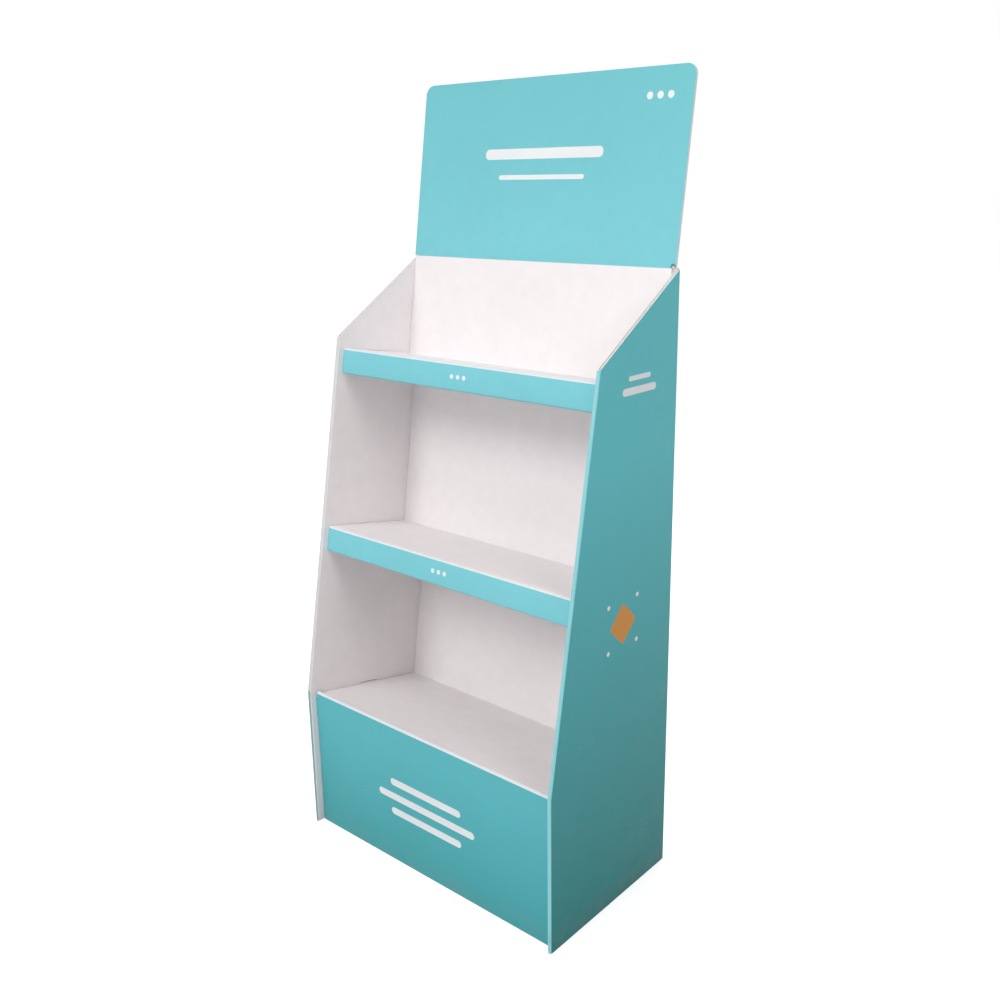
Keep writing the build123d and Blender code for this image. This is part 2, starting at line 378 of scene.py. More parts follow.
def mixed(tree, share, first, second, blend="MIX"):
    """A colour mix. Gives its output."""
    node = tree.nodes.new("ShaderNodeMix")
    node.data_type = "RGBA"
    node.blend_type = blend
    for index, value in ((MIX_SHARE, share), (MIX_FIRST, first), (MIX_SECOND, second)):
        feed(node.inputs[index], value)
    return node.outputs[MIX_RESULT]


def axes_of(tree, place):
    """The axes of a vector, by name."""
    node = tree.nodes.new("ShaderNodeSeparateXYZ")
    feed(node.inputs[0], place)
    return node.outputs


def vector_of(tree, x, y):
    """A vector from its first two axes."""
    node = tree.nodes.new("ShaderNodeCombineXYZ")
    feed(node.inputs["X"], x)
    feed(node.inputs["Y"], y)
    return node.outputs[0]


def stretched(tree, place, rise):
    """Object coordinates with their height scaled, for fibres and streaks."""
    node = tree.nodes.new("ShaderNodeVectorMath")
    node.operation = "MULTIPLY"
    feed(node.inputs[0], place)
    node.inputs[1].default_value = (1.0, 1.0, rise)
    return node.outputs[0]


def emboss(tree, shader, height, strength, distance):
    """Bump a surface by a height map. distance is in metres."""
    bump = tree.nodes.new("ShaderNodeBump")
    feed(bump.inputs["Strength"], strength)
    feed(bump.inputs["Distance"], distance)
    feed(bump.inputs["Height"], height)
    feed(shader["Normal"], bump.outputs["Normal"])


# Effects that the materials share. Their lengths are metres, as Object coordinates are.
FLUTE_PITCH = 0.0066
FLUTE_DRIFT = 0.0035
FLUTE_SHADE = 0.012
MOTTLE_SHADE = 0.10
FIBRE_SHADE = 0.07
CLOUD_SHADE = 0.10
FLUTE_RELIEF = 0.5
FIBRE_RELIEF = 0.35
DUST_TOP = 0.05
PRINT_BLUR = 0.0002

# The medium waves about the middle of the board, from 0 at its show face to 1 at its other face
MID_BOARD = 0.5
MEDIUM_SWING = 0.36


def flutes(tree, across):
    """A wave with the pitch of the board's flutes."""
    return maths(tree, "SINE", maths(tree, "MULTIPLY", across, 2 * math.pi / FLUTE_PITCH))


def paper_group():
    """Fibres, print mottle and the faint washboard that flutes press through a liner."""
    tree, inside, outside = new_group(
        "paper_face",
        {"Place": "Vector", "Across": "Float", "Washboard": "Float"},
        {"Shade": "Float", "Height": "Float", "Roughness": "Float"},
    )
    place = inside["Place"]
    fibre = noise(tree, stretched(tree, place, 0.35), scale=900.0, detail=3.0, roughness=0.7)
    mottle = noise(tree, place, scale=42.0, detail=4.0, roughness=0.6)
    cloud = noise(tree, place, scale=5.0, detail=3.0, roughness=0.5)
    drift = maths(tree, "MULTIPLY", noise(tree, place, scale=9.0, detail=1.0), FLUTE_DRIFT)
    ripple = flutes(tree, maths(tree, "ADD", inside["Across"], drift))
    flute = maths(tree, "MULTIPLY", ripple, inside["Washboard"])

    shade = maths(tree, "MULTIPLY", flute, FLUTE_SHADE)
    for pattern, depth in ((mottle, MOTTLE_SHADE), (fibre, FIBRE_SHADE), (cloud, CLOUD_SHADE)):
        swing = maths(tree, "MULTIPLY", maths(tree, "SUBTRACT", pattern, 0.5), depth)
        shade = maths(tree, "ADD", shade, swing)
    feed(outside["Shade"], maths(tree, "ADD", shade, 1.0))

    relief = maths(tree, "MULTIPLY", flute, FLUTE_RELIEF)
    feed(outside["Height"], maths(tree, "ADD", relief, maths(tree, "MULTIPLY", fibre, FIBRE_RELIEF)))
    feed(outside["Roughness"], spread(tree, mottle, low=0.3, high=0.7, out_low=-0.05, out_high=0.05))
    return tree


def scuff_group():
    """Rubs from handling, and dust near the floor."""
    tree, inside, outside = new_group(
        "handling_wear", {"Place": "Vector", "Amount": "Float"}, {"Rub": "Float", "Dust": "Float"}
    )
    place = inside["Place"]
    patches = noise(tree, place, scale=11.0, detail=3.0, roughness=0.6)
    patches = spread(tree, patches, low=0.56, high=0.74)
    streaks = noise(tree, stretched(tree, place, 5.0), scale=95.0, detail=4.0, roughness=0.65)
    streaks = spread(tree, streaks, low=0.60, high=0.74)
    rub = maths(tree, "MULTIPLY", patches, streaks)
    feed(outside["Rub"], maths(tree, "MULTIPLY", rub, inside["Amount"], clamp=True))

    near_floor = spread(tree, axes_of(tree, place)["Z"], low=DUST_TOP, high=0.0)
    specks = spread(tree, noise(tree, place, scale=30.0, detail=4.0), low=0.35, high=0.75)
    dust = maths(tree, "MULTIPLY", near_floor, specks)
    feed(outside["Dust"], maths(tree, "MULTIPLY", dust, inside["Amount"]))
    return tree


def mark_group():
    """A plain bar, block or dot with round corners, flat on a panel: 1 inside it and 0 outside."""
    numbers = ("U", "V", "Middle U", "Middle V", "Half Length", "Half Height", "Corner", "Turn")
    tree, inside, outside = new_group("plain_shape", dict.fromkeys(numbers, "Float"), {"Mask": "Float"})
    turned = tree.nodes.new("ShaderNodeVectorRotate")
    turned.rotation_type = "Z_AXIS"
    offset = [maths(tree, "SUBTRACT", inside[axis], inside["Middle " + axis]) for axis in ("U", "V")]
    feed(turned.inputs["Vector"], vector_of(tree, *offset))
    feed(turned.inputs["Angle"], inside["Turn"])
    axes = axes_of(tree, turned.outputs[0])
    excess = []
    for axis, half in (("X", "Half Length"), ("Y", "Half Height")):
        core = maths(tree, "SUBTRACT", inside[half], inside["Corner"])
        reach = maths(tree, "SUBTRACT", maths(tree, "ABSOLUTE", axes[axis]), core)
        excess.append(maths(tree, "MAXIMUM", reach, 0.0))
    length = tree.nodes.new("ShaderNodeVectorMath")
    length.operation = "LENGTH"
    feed(length.inputs[0], vector_of(tree, *excess))
    distance = maths(tree, "SUBTRACT", length.outputs["Value"], inside["Corner"])
    feed(outside["Mask"], spread(tree, distance, low=PRINT_BLUR, high=-PRINT_BLUR))
    return tree


PAPER = paper_group()
WEAR = scuff_group()
SHAPE = mark_group()

# Inks, liners, what wear shows of them, and painted shade
WHITE_INK = (0.80, 0.84, 0.85)
# Painted shadow: the dark gap at the header card's right corner
AMBER_INK = (0.62, 0.27, 0.045)
PAINTED_GAP_SHADOW = (0.085, 0.20, 0.22)
TEAL_SIDE = (0.110, 0.53, 0.575)
# Painted shade: the teal that the sides darken to at the floor
TEAL_SIDE_PAINTED_SHADE = (0.006, 0.182, 0.184)
TEAL_FRONT = (0.091, 0.470, 0.522)
# Painted shade: the teal that the base front darkens to at the floor
TEAL_FRONT_PAINTED_SHADE = (0.038, 0.339, 0.365)
TEAL_HEADER = (0.152, 0.529, 0.578)
TEAL_HEADER_LOW = (0.183, 0.580, 0.646)
TEAL_LIP = (0.187, 0.591, 0.658)
TEAL_HEM = (0.28, 0.66, 0.71)
# Painted shade: the left hem's liner greyed, and darker teal-grey below the bend beside the base front
LEFT_HEM_PAINTED_SHADE = (0.66, 0.66, 0.65)
LEFT_HEM_PAINTED_SHADE_LOW = (0.22, 0.34, 0.34)
WHITE_LINER = (0.87, 0.835, 0.84)
WHITE_CREASE = (0.74, 0.78, 0.80)
BROWN_LINER = (0.44, 0.30, 0.18)
RUBBED_INK = (0.74, 0.76, 0.76)
RUBBED_WHITE = (0.62, 0.58, 0.56)
RUBBED_BROWN = (0.34, 0.23, 0.14)
DUST = (0.22, 0.23, 0.23)
EDGE_LINER = (0.93, 0.93, 0.92)
EDGE_MEDIUM = (0.90, 0.89, 0.87)
# Painted shade in the flute hollows of a cut edge
EDGE_HOLLOW_SHADE = (0.70, 0.68, 0.65)
RUB_ROUGHNESS = 0.2
EDGE_ROUGHNESS = 0.85
EDGE_FUZZ = 0.25

# A shape on a panel: its middle and half sizes across and up its panel, its corners, its ink (the header's
# dark corner mark is painted shadow instead), and turn in degrees
Mark = namedtuple("Mark", "middle half corner ink turn", defaults=(WHITE_INK, 0.0))


def dots(radius, places):
    """White dots of one radius."""
    return [Mark(place, (radius, radius), radius) for place in places]


HEADER_MARKS = [
    Mark((0, 1268), (132, 9), 9),
    Mark((0, 1228), (96, 4), 4),
    *dots(6, [(x, 1352) for x in (214, 234, 254)]),
    # Painted shadow: the dark gap round the right relief hole, where the card meets the side's top
    Mark((TRAY_X, 1086.5), (4.8, 5.4), 4.7, PAINTED_GAP_SHADOW),
]
LIP_MARKS = dots(4, [(x, z) for z in (905, 575) for x in (-14, 0, 14)])
FRONT_MARKS = [Mark((0, z), (half_length, 7), 7) for z, half_length in ((104, 88), (134, 120), (164, 88))]
SIDE_MARKS = [
    Mark((225 - MIDDLE_Y, 905), (46, 6), 6),
    Mark((225 - MIDDLE_Y, 925), (30, 4), 4),
    Mark((190 - MIDDLE_Y, 520), (26, 26), 6, AMBER_INK, 45),
    *dots(4, [(y - MIDDLE_Y, z) for z in (560, 480) for y in (150, 230)]),
]


def new_material(name):
    """A material, its node tree and the inputs of its Principled shader."""
    material = bpy.data.materials.new(name)
    material.use_nodes = True
    return material, material.node_tree, material.node_tree.nodes["Principled BSDF"].inputs


def object_place(tree):
    """Object coordinates, and their axes by name."""
    place = tree.nodes.new("ShaderNodeTexCoord").outputs["Object"]
    return place, axes_of(tree, place)


def mark_mask(tree, u, v, mark):
    """Where a mark lies on a panel with the coordinates u and v."""
    outputs = use(
        tree, SHAPE, U=u, V=v, Middle_U=metres(mark.middle[0]), Middle_V=metres(mark.middle[1]),
        Half_Length=metres(mark.half[0]), Half_Height=metres(mark.half[1]), Corner=metres(mark.corner),
        Turn=math.radians(mark.turn),
    )
    return outputs["Mask"]


def card_face(
    name, colour, across, fade=None, roughness=0.62, washboard=0.5, wear=0.3, rubbed=RUBBED_INK, marks=()
):
    """A liner of board in one ink, with its fibres, washboard and handling.

    across is the axis that crosses its flutes. fade is (colour lower down, its height in metres, the height
    where the first colour is full): on the sides and the base front it is painted shade, darker towards the
    floor, and on the left hem painted shade below the bend. marks are shapes printed on it, and on the header
    one painted shadow.
    """
    material, tree, shader = new_material(name)
    place, axes = object_place(tree)
    paper = use(tree, PAPER, Place=place, Across=axes[across], Washboard=washboard)
    handling = use(tree, WEAR, Place=place, Amount=wear)
    # The ink, with painted shade mixed in where a fade or a shadow mark puts it
    ink = colour
    if fade:
        low_colour, low, high = fade
        ink = mixed(tree, spread(tree, axes["Z"], low, high), low_colour, colour)
    for mark in marks:
        ink = mixed(tree, mark_mask(tree, axes[across], axes["Z"], mark), ink, mark.ink)
    face = mixed(tree, 1.0, ink, paper["Shade"], blend="MULTIPLY")
    face = mixed(tree, handling["Rub"], face, rubbed)
    feed(shader["Base Color"], mixed(tree, handling["Dust"], face, DUST))
    worn = maths(tree, "MULTIPLY", handling["Rub"], RUB_ROUGHNESS)
    feed(shader["Roughness"], maths(tree, "ADD", maths(tree, "ADD", paper["Roughness"], roughness), worn))
    emboss(tree, shader, paper["Height"], strength=0.35, distance=0.0002)
    return material


def cut_board(name, across):
    """The raw edge of board: two liners with a wavy medium between them."""
    material, tree, shader = new_material(name)
    place, axes = object_place(tree)
    attribute = tree.nodes.new("ShaderNodeAttribute")
    attribute.attribute_name = "through"
    level = attribute.outputs["Fac"]
    wave = maths(tree, "ADD", maths(tree, "MULTIPLY", flutes(tree, axes[across]), MEDIUM_SWING), MID_BOARD)
    off_wave = maths(tree, "ABSOLUTE", maths(tree, "SUBTRACT", level, wave))
    off_middle = maths(tree, "ABSOLUTE", maths(tree, "SUBTRACT", level, MID_BOARD))
    medium = spread(tree, off_wave, low=0.16, high=0.08)
    liners = spread(tree, off_middle, low=0.38, high=0.42)
    fuzz = noise(tree, place, scale=1400.0, detail=2.0, roughness=0.7)
    # The hollows between the medium and the liners take painted shade
    face = mixed(tree, liners, mixed(tree, medium, EDGE_HOLLOW_SHADE, EDGE_MEDIUM), EDGE_LINER)
    face = mixed(tree, maths(tree, "MULTIPLY", fuzz, EDGE_FUZZ), face, EDGE_MEDIUM)
    feed(shader["Base Color"], face)
    feed(shader["Roughness"], EDGE_ROUGHNESS)
    emboss(tree, shader, maths(tree, "MAXIMUM", medium, liners), strength=0.5, distance=0.0004)
    return material


# The sides and the base front get painted shade, darker towards the floor, through their fade
side_print = card_face("printed_side_card", TEAL_SIDE, "Y", (TEAL_SIDE_PAINTED_SHADE, 0.0, 0.80), marks=SIDE_MARKS)
front_print = card_face("printed_front_card", TEAL_FRONT, "X", (TEAL_FRONT_PAINTED_SHADE, 0.0, 0.24), marks=FRONT_MARKS)
header_print = card_face(
    "printed_header_card", TEAL_HEADER, "X", (TEAL_HEADER_LOW, 1.12, 1.38), marks=HEADER_MARKS
)
lip_print = card_face("printed_lip_card", TEAL_LIP, "X", marks=LIP_MARKS)
hem_print = card_face("printed_hem_card", TEAL_HEM, "Y", washboard=0.0, wear=0.9)
# The left hem's painted shade: grey, and darker below the bend
painted_shade_hem = card_face(
    "painted_shade_hem_card", LEFT_HEM_PAINTED_SHADE, "Y", (LEFT_HEM_PAINTED_SHADE_LOW, metres(FRONT_BEND - 1), metres(FRONT_BEND + 1)),
    washboard=0.0,
)
white_across = card_face("white_liner_card", WHITE_LINER, "X", rubbed=RUBBED_WHITE)
white_lining = card_face("white_lining_card", WHITE_LINER, "Y", rubbed=RUBBED_WHITE)
ridge_white = card_face("creased_white_card", WHITE_CREASE, "X", roughness=0.7, washboard=0.0, wear=0.9)
brown_across = card_face("brown_liner_card", BROWN_LINER, "X", roughness=0.8, rubbed=RUBBED_BROWN)
brown_along = card_face("brown_liner_card_turned", BROWN_LINER, "Y", roughness=0.8, rubbed=RUBBED_BROWN)
white_edge = cut_board("cut_edge_white", "X")
side_edge = cut_board("cut_edge_side", "Y")

# Places of the show materials of a folded sheet
PRINT, LINER, RIDGE = 0, 1, 2


def one_finish(middle, normal):
    """The finish of a flat card with one show material."""
    return 0


# Trays
FLAT_X = TRAY_X - FOLD
RECESS = 14.0
TAB_HALF = 21.0
TAB_REACH = 4.4
TAB_SHARES = (0.22, 0.72)
SLOT_HALF = 22.5
FLANGE = 34.0
FLANGE_MARGIN = 12.0
FLANGE_TAPER = 10.0
LIP_HEIGHT = 47.0
LIP_DEPTH = 24.0
LIP_TURN_IN = 14.0
APRON_NOTCH = (8.0, 14.0)
RIDGE_START = 0.4

# A face of a lip that looks straight at or away from the shelf, by this cosine, has no print
FLAT_COSINE = 0.999

# Heights of the trays, and the depths where their walls end against the back panel or the header card
BASE_FRONT_TOP = 278.0
BASE_HEM_Y = RECESS + SIDE_HEM
BASE_LIP_DROP = 5.0
BASE_LIP = (BASE_HEM_Y + SEAT_GAP, BASE_FRONT_TOP - BASE_LIP_DROP)
BASE_APRON = 43.0
TOP_LIP = 928.0
MIDDLE_LIP_SHARE = 0.4923
MIDDLE_LIP = BASE_FRONT_TOP + (TOP_LIP - BASE_FRONT_TOP) * MIDDLE_LIP_SHARE
BASE_WALL_DROP = 25.0
MIDDLE_WALL_DROP = 101.0
RESTED_WALL_Y = LINING_REAR - BOARD * math.cos(LEAN)
HEADER_Y = LINING_REAR - HEADER_BOARD / math.cos(LEAN)
TOP_WALL_Y = HEADER_Y - SEAT_GAP * math.tan(LEAN) - (BOARD + SEAT_GAP) / math.cos(LEAN)


def tray_lines(lip, fall, wall_top):
    """The lip, the foot and the wall's top of a tray, as YZ points on its show face."""
    lean = math.tan(LEAN)
    drop = math.tan(fall)
    wall_y = wall_top[0] - (wall_top[1] - lip[1]) * lean
    foot_y = (wall_y + lean * drop * lip[0]) / (1 + lean * drop)
    return lip, (foot_y, lip[1] - (foot_y - lip[0]) * drop), wall_top


def lip_at(height):
    """The lip of an upper tray, set back from the sides' front edge."""
    return (front_line(height) + RECESS, height)


def boxed_lip(lip, fall):
    """YZ points of a lip folded as a box: down the front, back under it, up, and forward below the shelf."""
    bottom = along(lip, LIP_HEIGHT, DOWN - SLANT)
    rear = along(bottom, LIP_DEPTH, -fall)
    web = LIP_HEIGHT - (BOARD + SEAT_GAP) / math.cos(fall - SLANT)
    web_top = along(rear, web, UP - SLANT)
    return [bottom, rear, web_top, along(web_top, LIP_TURN_IN, FORWARD - fall)]


def tray_route(lines, front_folds):
    """YZ points of a tray from its wall's top to its front edge, with the ends of its tabs and flanges."""
    lip, foot, wall_top = lines
    wall = math.dist(wall_top, foot)
    shelf = math.dist(lip, foot)
    wall_marks = []
    for share in reversed(TAB_SHARES):
        wall_marks += [wall * (1 - share) - TAB_HALF, wall * (1 - share) + TAB_HALF]
    tab_marks = [shelf / 2 + offset for offset in (-SLOT_HALF, -TAB_HALF, TAB_HALF, SLOT_HALF)]
    shelf_marks = [FLANGE_MARGIN, *tab_marks, shelf - FLANGE_MARGIN]
    wall_points = split(wall_top, foot, wall_marks)
    return [wall_top, *wall_points, foot, *split(foot, lip, shelf_marks), lip, *front_folds]


class Shelf:
    """A tray's falling shelf, with places measured down from its upper face and back from its lip."""

    def __init__(self, lip, foot, fall):
        self.length = math.dist(lip, foot)
        self.middle = self.length / 2
        self.lip_place = at(0, *lip)
        self.down = heading(DOWN - fall)
        self.rearward = heading(-fall)

    def depth(self, place):
        """How far a place is under the upper face."""
        return millimetres((place - self.lip_place).dot(self.down))

    def distance(self, place):
        """How far a place is behind the lip, along the shelf."""
        return millimetres((place - self.lip_place).dot(self.rearward))

    def between(self, low, high):
        """Test for corners on the upper face, between two distances from the lip."""
        def test(corner):
            inside = low - SAME_PLACE < self.distance(corner) < high + SAME_PLACE
            return inside and abs(self.depth(corner)) < SAME_PLANE
        return test


def fold_tray_side(piece, shelf, foot, wall, hand):
    """Fold one side of a tray: its three tabs, and the two glue flanges under its shelf."""
    on_side = at_x(hand * FLAT_X)
    on_outer = at_x(hand * TRAY_X)
    spans = [
        shelf.between(FLANGE_MARGIN, shelf.middle - SLOT_HALF),
        shelf.between(shelf.middle + SLOT_HALF, shelf.length - FLANGE_MARGIN),
    ]

    def unflanged(edge):
        """Whether an edge of the side belongs to neither flange."""
        ends = [corner.co for corner in edge.verts]
        return all(map(on_side, ends)) and not any(all(map(on_span, ends)) for on_span in spans)

    pick(piece, "EDGE", unflanged)
    pull(away(hand * FOLD, 0, 0))

    foot_place = at(0, *foot)
    up_wall = heading(UP - LEAN)

    def on_wall_tab(share):
        """Test for corners of the tab at a share of the wall's height."""
        def test(corner):
            rise = millimetres((corner - foot_place).dot(up_wall))
            return abs(rise - wall * share) < TAB_HALF + SAME_PLACE
        return test

    on_shelf_tab = shelf.between(shelf.middle - TAB_HALF, shelf.middle + TAB_HALF)
    for on_tab in (on_shelf_tab, *map(on_wall_tab, TAB_SHARES)):
        pick_edges(piece, lambda corner: on_outer(corner) and on_tab(corner))
        pull(away(hand * TAB_REACH, 0, 0))

    centre = shelf.lip_place + away(hand * FLAT_X, 0, 0) + shelf.down * metres(FOLD)
    for on_span in spans:
        pick_edges(piece, lambda corner: on_side(corner) and on_span(corner))
        turn_flange(centre, shelf.rearward, hand, shelf.down * metres(FLANGE - FOLD))
    for distance in (FLANGE_MARGIN, shelf.length - FLANGE_MARGIN):
        tip = shelf.lip_place + shelf.rearward * metres(distance) + shelf.down * metres(FLANGE)
        clip_corners(piece, at_place(tip + away(hand * TRAY_X, 0, 0)), FLANGE_TAPER)


def notch_apron(piece, lip, fall, hand):
    """Cut away the corner where a plain front fold meets one side."""
    width, depth = APRON_NOTCH
    sides = [
        (at(hand * (TRAY_X - width), 0, 0), TO_RIGHT * -hand),
        (at(0, 0, lip[1] - depth), TO_FLOOR),
        (at(0, lip[0] + FLANGE_MARGIN * math.cos(fall), 0), TO_REAR),
    ]
    rear = at(0, lip[0] + FLANGE_MARGIN, 0).y
    cut_out(piece, lambda middle: hand * middle.x > 0 and middle.y < rear, sides)


def tray(name, lines, fall, front_folds):
    """A tray of one sheet: leaning wall, shelf with side flanges and tabs, and its folded front edge."""
    lip, foot, wall_top = lines
    boxed = len(front_folds) > 1
    shelf = Shelf(lip, foot, fall)
    route = tray_route(lines, front_folds)
    piece = blank(name, route[0], route[1], FLAT_X)
    fold_strip(piece, route)
    round_fold(piece, at_point(foot), INNER_FOLD, INNER_FOLD_STEPS)
    for point in [lip, *front_folds[:-1]]:
        round_fold(piece, at_point(point))
    for hand in (-1, 1):
        fold_tray_side(piece, shelf, foot, math.dist(wall_top, foot), hand)
        if not boxed:
            notch_apron(piece, lip, fall, hand)
    turn_show_face(piece, shelf.lip_place + shelf.rearward * metres(shelf.middle), -shelf.down)

    def finish(middle, normal):
        depth = shelf.depth(middle)
        distance = shelf.distance(middle)
        if not boxed or depth < RIDGE_START:
            return LINER
        if depth < FOLD:
            return RIDGE if distance < FOLD else LINER
        lies_flat = abs(normal.dot(shelf.down)) > FLAT_COSINE
        return LINER if lies_flat or distance > LIP_DEPTH + FLANGE_MARGIN else PRINT

    return make_board(piece, finish, (lip_print, white_across, ridge_white), white_across, white_edge)


base_lines = tray_lines(BASE_LIP, BASE_FALL, (RESTED_WALL_Y, MIDDLE_LIP - BASE_WALL_DROP))
middle_lines = tray_lines(lip_at(MIDDLE_LIP), FALL, (RESTED_WALL_Y, SIDE_TOP - MIDDLE_WALL_DROP))
top_lines = tray_lines(lip_at(TOP_LIP), FALL, (TOP_WALL_Y, SIDE_TOP - SEAT_GAP))
base_tray = tray("base_tray_sheet", base_lines, BASE_FALL, [along(BASE_LIP, BASE_APRON, DOWN)])
middle_tray = tray("middle_tray_sheet", middle_lines, FALL, boxed_lip(middle_lines[0], FALL))
top_tray = tray("top_tray_sheet", top_lines, FALL, boxed_lip(top_lines[0], FALL))
settle(base_tray, "base_tray")
settle(middle_tray, "middle_tray")
settle(top_tray, "top_tray")

# Base front
BASE_HEM_DEPTH = 48.0
BASE_FLANGE = 60.0
BASE_NOTCH = (6.0, 12.0)
BASE_RIDGE = 3.5


def base_front_panel():
    """Front panel with a hem over its top edge and a glue flange down each side."""
    flange_y = RECESS + BASE_FLANGE
    shelf_drop = (flange_y - BASE_LIP[0]) * math.tan(BASE_FALL)
    flange_top = BASE_LIP[1] - shelf_drop - (FLANGE + SEAT_GAP) / math.cos(BASE_FALL)
    hem_folds = [(BASE_HEM_Y, BASE_FRONT_TOP), (RECESS, BASE_FRONT_TOP)]
    route = [(BASE_HEM_Y, BASE_FRONT_TOP - BASE_HEM_DEPTH), *hem_folds, (RECESS, flange_top), (RECESS, 0.0)]
    piece = blank("base_front_sheet", route[0], route[1], FLAT_X)
    fold_strip(piece, route)
    for point in hem_folds:
        round_fold(piece, at_point(point))
    width, depth = BASE_NOTCH
    for hand in (-1, 1):
        on_side = at_x(hand * FLAT_X)
        pick_edges(piece, lambda corner: on_side(corner) and millimetres(corner.z) > flange_top - SAME_PLACE)
        pull(away(hand * FOLD, 0, 0))
        pick_edges(piece, lambda corner: on_side(corner) and millimetres(corner.z) < flange_top + SAME_PLACE)
        turn_flange(at(hand * FLAT_X, RECESS + FOLD, 0), -TO_FLOOR, hand, away(0, BASE_FLANGE - FOLD, 0))
        for height in (0.0, flange_top):
            clip_corners(piece, at_place(at(hand * TRAY_X, flange_y, height)), FLANGE_TAPER)
        notch = [
            (at(hand * (TRAY_X - width), 0, 0), TO_RIGHT * -hand),
            (at(0, 0, BASE_FRONT_TOP - depth), TO_FLOOR),
        ]
        cut_out(piece, lambda middle: millimetres(middle.z) > flange_top and hand * middle.x > 0, notch)
    turn_show_face(piece, at(0, RECESS, BASE_FRONT_TOP / 2), TO_FRONT)
    hem_start = at(0, (RECESS + BASE_HEM_Y) / 2, 0).y

    def finish(middle, normal):
        if millimetres(middle.z) > BASE_FRONT_TOP - BASE_RIDGE:
            return RIDGE
        return LINER if middle.y > hem_start and abs(millimetres(middle.x)) < FLAT_X else PRINT

    return make_board(piece, finish, (front_print, white_across, ridge_white), white_across, white_edge)


base_front = base_front_panel()
settle(base_front, "base_front")

# Sides: their blank is drawn too tall, and the sloping top is cut from it. A face is lining where it looks
# inwards by more than a cosine, and hem where it looks to the front.
BLANK_TOP = 1120.0
SLOT_PLAY = 0.6
BASE_SLOT_PLAY = 2.2
LINING_COSINE = 0.75
HEM_COSINE = 0.5


def slot_sides(place, angle, play=SEAT_GAP):
    """The four sides of a tab's slot in the lining, as points and outward directions."""
    middle = at(LINING_X, *place)
    ahead = heading(angle)
    above = heading(angle + UP)
    return [
        (middle + ahead * metres(SLOT_HALF), ahead),
        (middle - ahead * metres(SLOT_HALF), -ahead),
        (middle + above * metres(play), above),
        (middle - above * metres(BOARD + SEAT_GAP), -above),
    ]


def tab_slots(lines, fall, shelf_play):
    """The slots for one tray: one at its shelf's edge, with play above the tab, and two up its wall."""
    lip, foot, wall_top = lines
    wall = math.dist(wall_top, foot)
    slots = [slot_sides(((lip[0] + foot[0]) / 2, (lip[1] + foot[1]) / 2), -fall, shelf_play)]
    for share in TAB_SHARES:
        slots.append(slot_sides(along(foot, wall * share, UP - LEAN), UP - LEAN))
    return slots


def side_panel():
    """The right side, one sheet: printed skin, turned hem, white lining, and a flange behind the back."""
    on_skin = at_x(HALF_WIDTH)
    on_lining = at_x(LINING_X)
    rear = at(0, SIDE_DEPTH, 0)

    def on_rear_fold(corner):
        return on_skin(corner) and near(corner.y, rear.y)

    def on_front_fold(on_panel):
        """Test for corners where a panel meets the hem."""
        def test(corner):
            front = max(0.0, front_line(millimetres(corner.z)))
            return on_panel(corner) and near(corner.y, at(0, front, 0).y)
        return test

    piece = blank("right_side_sheet", (0.0, 0.0), (0.0, FRONT_BEND), SIDE_HEM / 2)
    bpy.ops.mesh.select_all(action="SELECT")
    bpy.ops.transform.translate(value=away((HALF_WIDTH + LINING_X) / 2, 0, 0))
    pick_edges(piece, at_point((0.0, FRONT_BEND)))
    pull(away(0, front_line(BLANK_TOP), BLANK_TOP - FRONT_BEND))
    for on_panel in (on_skin, on_lining):
        pick_edges(piece, on_panel)
        pull(away(0, SIDE_DEPTH, 0))
    trim(piece, on_skin, rear, TO_REAR)
    trim(piece, on_lining, at(0, LINING_REAR, 0), TO_REAR)
    pick_edges(piece, on_rear_fold)
    pull(away(-REAR_FLANGE, 0, 0))
    top_slope = math.atan2(SIDE_TOP - SHOULDER[1], SIDE_DEPTH - SHOULDER[0])
    trim(piece, lambda middle: True, at(0, *SHOULDER), heading(top_slope + UP))

    for on_fold in (on_front_fold(on_skin), on_front_fold(on_lining), on_rear_fold):
        round_fold(piece, on_fold)
    for height in (0.0, SIDE_TOP):
        clip_corners(piece, at_place(at(HALF_WIDTH - REAR_FLANGE, SIDE_DEPTH, height)), REAR_TAPER)
    for lines, fall, play in (
        (base_lines, BASE_FALL, BASE_SLOT_PLAY),
        (middle_lines, FALL, SLOT_PLAY),
        (top_lines, FALL, SLOT_PLAY),
    ):
        for sides in tab_slots(lines, fall, play):
            cut_out(piece, on_lining, sides)
    turn_show_face(piece, at(HALF_WIDTH, SIDE_DEPTH / 2, SIDE_TOP / 2), TO_RIGHT)

    def finish(middle, normal):
        if normal.x < -LINING_COSINE:
            return LINER
        return RIDGE if normal.y < -HEM_COSINE else PRINT

    return make_board(piece, finish, (side_print, white_lining, hem_print), white_lining, side_edge)


def mirrored(piece, name):
    """A mirrored copy with its own mesh, its faces turned outwards again."""
    select_only(piece)
    bpy.ops.object.duplicate()
    copy = bpy.context.active_object
    copy.name = name
    copy.data.name = name
    copy.scale.x = -1
    bpy.ops.object.transform_apply(location=False, rotation=False, scale=True)
    bpy.ops.object.mode_set(mode="EDIT")
    bpy.ops.mesh.select_all(action="SELECT")
    bpy.ops.mesh.flip_normals()
    bpy.ops.object.mode_set(mode="OBJECT")
    return copy


right_side = side_panel()
left_side = mirrored(right_side, "left_side_sheet")
# The left side's hem takes painted shade in place of the right side's printed teal
left_side.data.materials[RIDGE] = painted_shade_hem
settle(right_side, "right_side")
settle(left_side, "left_side")

# Header card
HEADER_RISE = 315.0
HEADER_INSET = 3.0
HEADER_CORNER = 18.0
HEADER_CORNER_STEPS = 8
TONGUE = 105.0
TONGUE_TAPER = 10.0
RELIEF_RADIUS = 3.0
RELIEF_SIDES = 8


